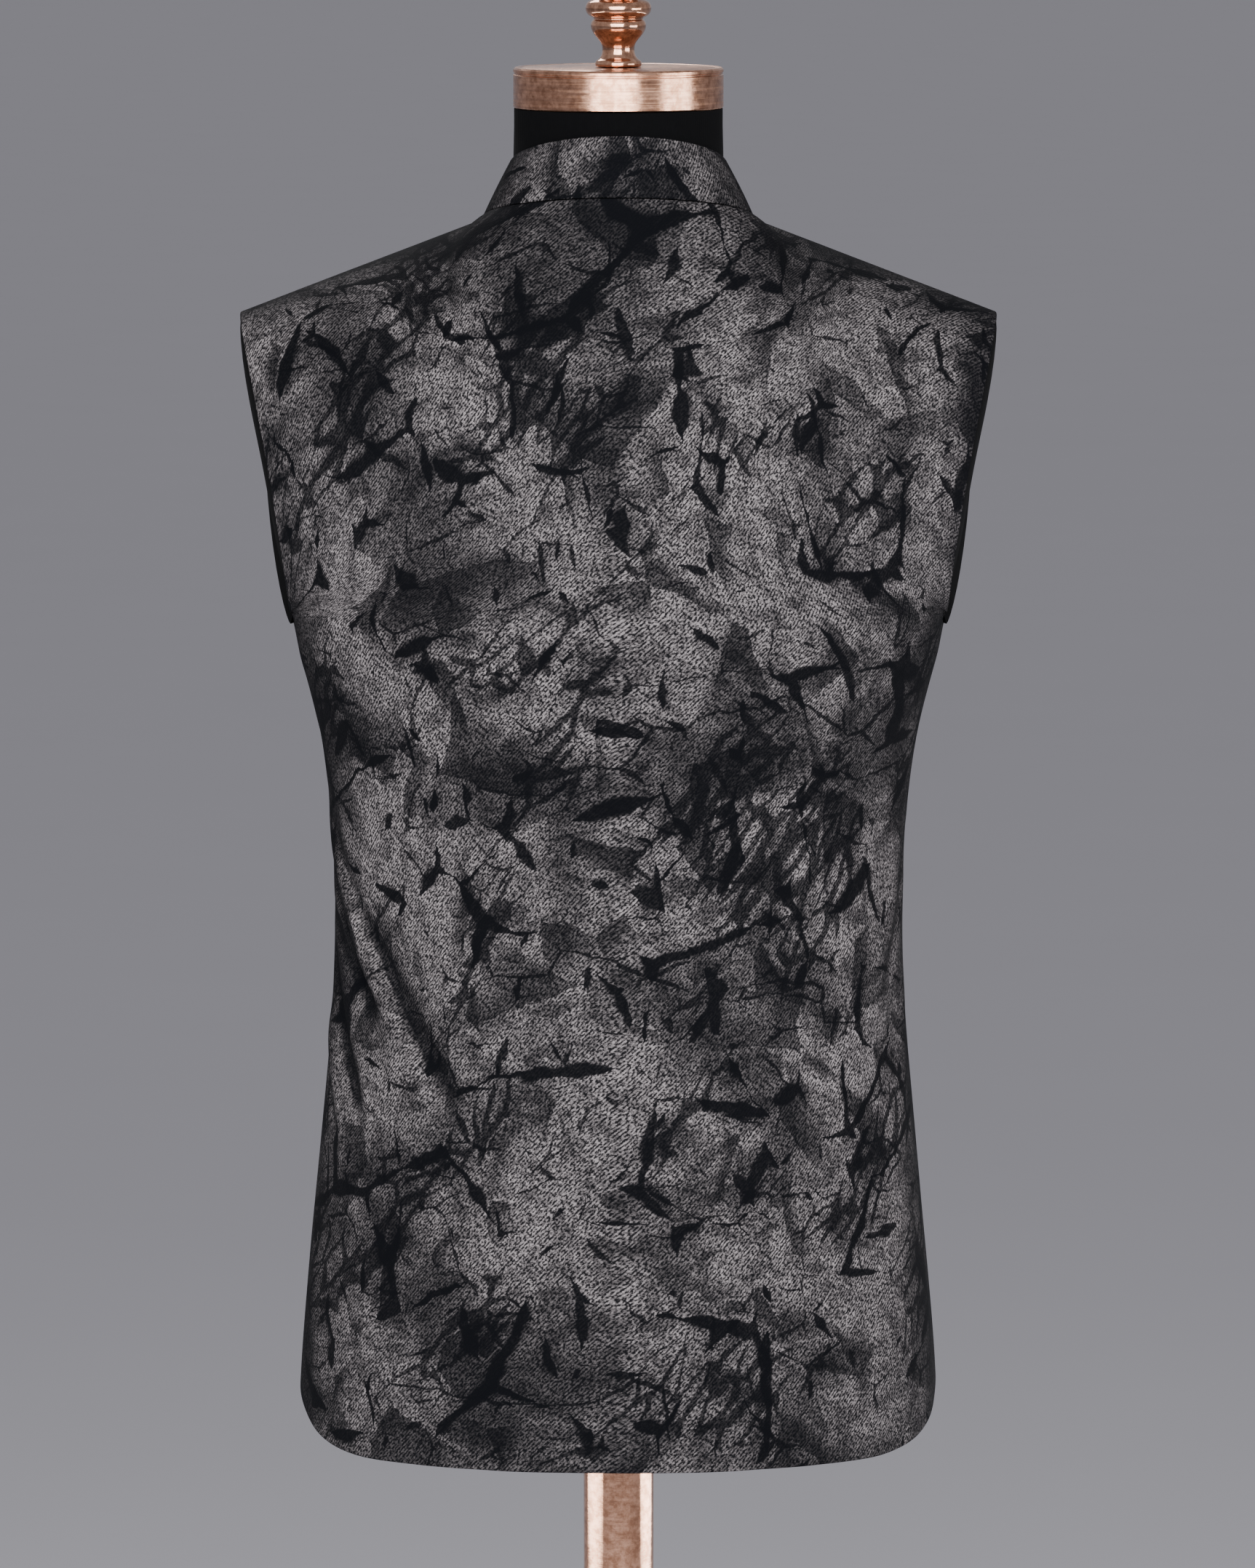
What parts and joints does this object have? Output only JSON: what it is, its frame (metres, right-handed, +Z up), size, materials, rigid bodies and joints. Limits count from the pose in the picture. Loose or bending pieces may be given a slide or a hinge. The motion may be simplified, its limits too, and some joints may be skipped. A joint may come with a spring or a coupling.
{
  "type": "nehru jacket on dress form",
  "caption": "Sleeveless charcoal nehru jacket with a stand collar, buttoned on a black limbless dress form with a copper cap, finial, pole and base.",
  "frame": {"origin": "centre of the underside of the stand's round base, on the floor", "axes": "+Z up; -Y is the wearer's front, where the buttons are; +X is the wearer's left"},
  "size_m": [0.4338, 0.36, 1.59],
  "materials": {
    "charcoal_twill": "matte printed twill",
    "black_button": "satin",
    "black_jersey": "matte jersey",
    "polished_copper": "polished copper"
  },
  "bodies": {
    "root": {"jacket_back": "charcoal_twill", "jacket_front_left": "charcoal_twill", "jacket_front_right": "charcoal_twill", "jacket_collar": "charcoal_twill", "front_button_1": "black_button", "front_button_2": "black_button", "front_button_3": "black_button", "front_button_4": "black_button", "front_button_5": "black_button", "front_button_6": "black_button", "form_torso": "black_jersey", "form_neck_cap": "polished_copper", "form_finial": "polished_copper", "form_pole": "polished_copper", "form_base": "polished_copper"}
  },
  "joints": []
}
